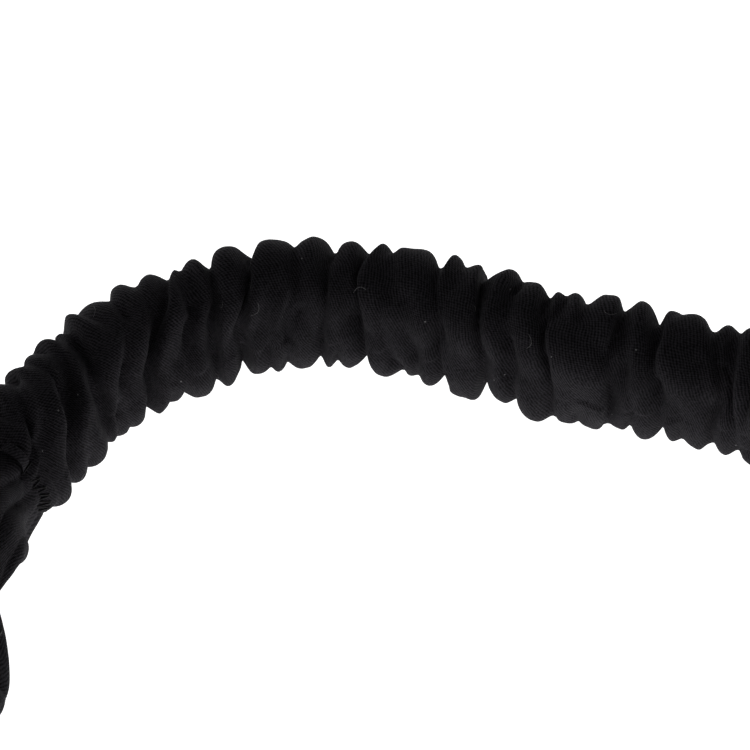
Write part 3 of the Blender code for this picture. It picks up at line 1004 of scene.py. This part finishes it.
def lint_tree():
    """Short curled fibres strewn over a surface."""
    inputs = (("Density", "NodeSocketFloat"), ("Seed", "NodeSocketInt"), ("Length", "NodeSocketFloat"),
              ("Radius", "NodeSocketFloat"), ("Material", "NodeSocketMaterial"))
    tree, outputs, result = new_tree("lint", inputs)
    nodes, links = tree.nodes, tree.links
    spread = nodes.new("GeometryNodeDistributePointsOnFaces")
    links.new(outputs["Geometry"], spread.inputs["Mesh"])
    links.new(outputs["Density"], spread.inputs["Density"])
    links.new(outputs["Seed"], spread.inputs["Seed"])
    fibre = nodes.new("GeometryNodeCurveQuadraticBezier")
    fibre.inputs["Resolution"].default_value = 6
    bend = (("Start", (-0.5, 0.0, 0.01)), ("Middle", (0.15, 0.55, 0.16)), ("End", (0.5, -0.1, 0.01)))
    for label, point in bend:
        links.new(scaled_vector(nodes, links, point, outputs["Length"]), fibre.inputs[label])
    tube = nodes.new("GeometryNodeCurveToMesh")
    tube.inputs["Fill Caps"].default_value = True
    links.new(fibre.outputs[0], tube.inputs["Curve"])
    links.new(round_profile(tree, outputs["Radius"], 4), tube.inputs["Profile Curve"])
    turn = nodes.new("FunctionNodeRandomValue")
    turn.data_type = "FLOAT_VECTOR"
    by_identifier(turn.inputs, "Max").default_value = (0.2, 0.2, 2 * math.pi)
    links.new(outputs["Seed"], by_identifier(turn.inputs, "Seed"))
    spun = nodes.new("FunctionNodeRotateRotation")
    spun.rotation_space = "LOCAL"
    links.new(spread.outputs["Rotation"], spun.inputs[0])
    links.new(by_identifier(turn.outputs, "Value"), spun.inputs[1])
    size = nodes.new("FunctionNodeRandomValue")
    size.data_type = "FLOAT"
    by_identifier(size.inputs, "Min_001").default_value = 0.25
    by_identifier(size.inputs, "Max_001").default_value = 1.5
    strewn = nodes.new("GeometryNodeInstanceOnPoints")
    links.new(spread.outputs["Points"], strewn.inputs["Points"])
    links.new(tube.outputs[0], strewn.inputs["Instance"])
    links.new(spun.outputs[0], strewn.inputs["Rotation"])
    links.new(by_identifier(size.outputs, "Value_001"), strewn.inputs["Scale"])
    finish_tree(tree, outputs, result, strewn.outputs[0])
    return tree


def grown(name, guide_mesh, tree, values):
    """The plain mesh that a node tree makes from a guide, as a new piece."""
    thing = bpy.data.objects.new(name, guide_mesh)
    bpy.context.scene.collection.objects.link(thing)
    modifier = thing.modifiers.new("grow", "NODES")
    modifier.node_group = tree
    for item in tree.interface.items_tree:
        if item.in_out == "INPUT" and item.name in values:
            modifier[item.identifier] = values[item.name]
    bpy.context.view_layer.update()
    mesh = bpy.data.meshes.new_from_object(thing.evaluated_get(bpy.context.evaluated_depsgraph_get()))
    thing.modifiers.clear()
    thing.data = mesh
    mesh.name = name
    mesh.shade_smooth()
    return thing


# ---------------------------------------------------------------- stitches

class HEADBAND_OT_stitches(bpy.types.Operator):
    """Zigzag thread at the casing's mouths and keeper stitches behind the knot"""

    bl_idname = "headband.stitches"
    bl_label = "Stitches"

    def execute(self, context):
        settings = context.scene.headband_stitches
        values = {"Radius": settings.thread / 2, "Material": shared_material("sewing_thread")}
        tree = thread_tree()
        rows, _ = casing_rows(context.scene.headband_casing)
        for side, first, step in (("left", LIP_ROWS, 1), ("right", len(rows) - 1 - LIP_ROWS, -1)):
            for face, middle in (("inner_", 0.0), ("", 0.5)):
                node = "join_stitches_" + face + side
                guide = self.zigzag(rows, first, step, middle, settings)
                thing = grown(node + "_thread", guide, tree, values)
                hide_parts(node)
                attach(thing, "front")
        tack = bpy.data.objects["knot_tack"]
        for slot in tack.material_slots:
            slot.material = shared_material("sewing_thread")
        return {"FINISHED"}

    def zigzag(self, rows, first, step, middle, settings):
        """Guide lines of the stitches that climb one face of the casing near its mouth."""
        around = rows.shape[1]
        points, edges = [], []
        for stitch in range(-settings.rows // 2, settings.rows // 2):
            ends = []
            for corner in (stitch, stitch + 1):
                row = rows[first + step * (settings.far if corner % 2 else settings.near)]
                column = int(round(middle * around + corner * settings.rise)) % around
                outward = row[column] - row.mean(0)
                ends.append((row[column], outward / np.linalg.norm(outward)))
            (start, start_out), (end, end_out) = ends
            first_point = len(points)
            points.append(start - start_out * 0.3 * MM)
            for share in (0.25, 0.5, 0.75):
                points.append(start * (1 - share) + end * share + (start_out + end_out) / 2 * 0.25 * MM)
            points.append(end - end_out * 0.3 * MM)
            edges += [(first_point + k, first_point + k + 1) for k in range(4)]
        guide = bpy.data.meshes.new("stitch_guide")
        guide.from_pydata([tuple(point) for point in points], edges, [])
        return guide


# ---------------------------------------------------------------- lint

class HEADBAND_OT_lint(bpy.types.Operator):
    """Pale lint fibres caught on the twill"""

    bl_idname = "headband.lint"
    bl_label = "Lint"

    def execute(self, context):
        settings = context.scene.headband_lint
        material, *_, shader = shader_nodes("lint")
        shader.inputs["Base Color"].default_value = (*settings.colour, 1.0)
        shader.inputs["Roughness"].default_value = 0.8
        tree = lint_tree()
        surface = bpy.data.objects["ruched_casing"].data.copy()
        values = {"Density": settings.density, "Seed": SEED, "Length": settings.length,
                  "Radius": settings.radius, "Material": material}
        lint = grown("lint_fibres", surface, tree, values)
        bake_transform(lint)
        return {"FINISHED"}


# ---------------------------------------------------------------- panel and running

class HEADBAND_PT_panel(bpy.types.Panel):
    """Lists the headband's pieces"""

    bl_idname = "HEADBAND_PT_panel"
    bl_label = "Knotted headband"
    bl_space_type = "VIEW_3D"
    bl_region_type = "UI"
    bl_category = "Headband"

    def draw(self, context):
        for operator in OPERATORS:
            self.layout.operator(operator.bl_idname)


OPERATORS = (HEADBAND_OT_stage, HEADBAND_OT_casing, HEADBAND_OT_elastic, HEADBAND_OT_knot,
             HEADBAND_OT_stitches, HEADBAND_OT_lint)
GROUPS = (("headband_casing", CasingSettings), ("headband_cloth", ClothSettings),
          ("headband_stitches", StitchSettings), ("headband_lint", LintSettings),
          ("headband_stage", StageSettings))


def register():
    for name, group in GROUPS:
        bpy.utils.register_class(group)
        setattr(bpy.types.Scene, name, bpy.props.PointerProperty(type=group))
    for operator in OPERATORS:
        bpy.utils.register_class(operator)
    bpy.utils.register_class(HEADBAND_PT_panel)


def unregister():
    bpy.utils.unregister_class(HEADBAND_PT_panel)
    for operator in OPERATORS:
        bpy.utils.unregister_class(operator)
    for name, group in GROUPS:
        delattr(bpy.types.Scene, name)
        bpy.utils.unregister_class(group)


def main():
    register()
    bpy.ops.headband.stage()
    bpy.ops.headband.casing()
    bpy.ops.headband.elastic()
    bpy.ops.headband.knot()
    bpy.ops.headband.stitches()
    bpy.ops.headband.lint()


if __name__ == "__main__":
    main()
